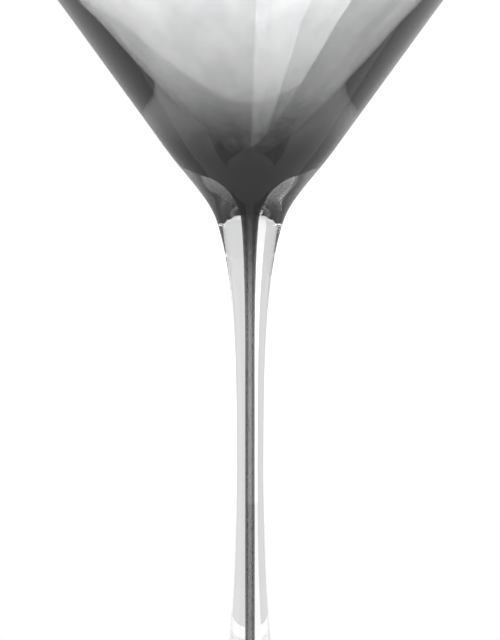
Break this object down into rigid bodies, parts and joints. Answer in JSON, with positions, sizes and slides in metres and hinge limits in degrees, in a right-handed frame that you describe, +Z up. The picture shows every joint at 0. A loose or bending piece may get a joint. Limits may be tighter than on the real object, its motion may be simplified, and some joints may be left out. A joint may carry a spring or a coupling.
{
  "type": "martini glass",
  "caption": "Stemmed cocktail glass: V-shaped bowl of smoke glass cased in clear, clear stem with a smoke core, round foot.",
  "frame": {"origin": "centre of the foot's resting plane", "axes": "+Z up along the glass's axis of revolution; X and Y are any two radial directions"},
  "size_m": [0.1148, 0.1148, 0.195],
  "materials": {
    "clear_glass": "clear, fire-polished",
    "smoke_glass": "transparent smoke grey, fire-polished"
  },
  "bodies": {
    "root": {"bowl_outer_glass": "clear_glass", "bowl_smoke_layer": "smoke_glass", "bowl_inner_glass": "clear_glass", "stem": "clear_glass", "stem_smoke_core": "smoke_glass", "stem_clear_heart": "clear_glass", "foot": "clear_glass"}
  },
  "joints": []
}
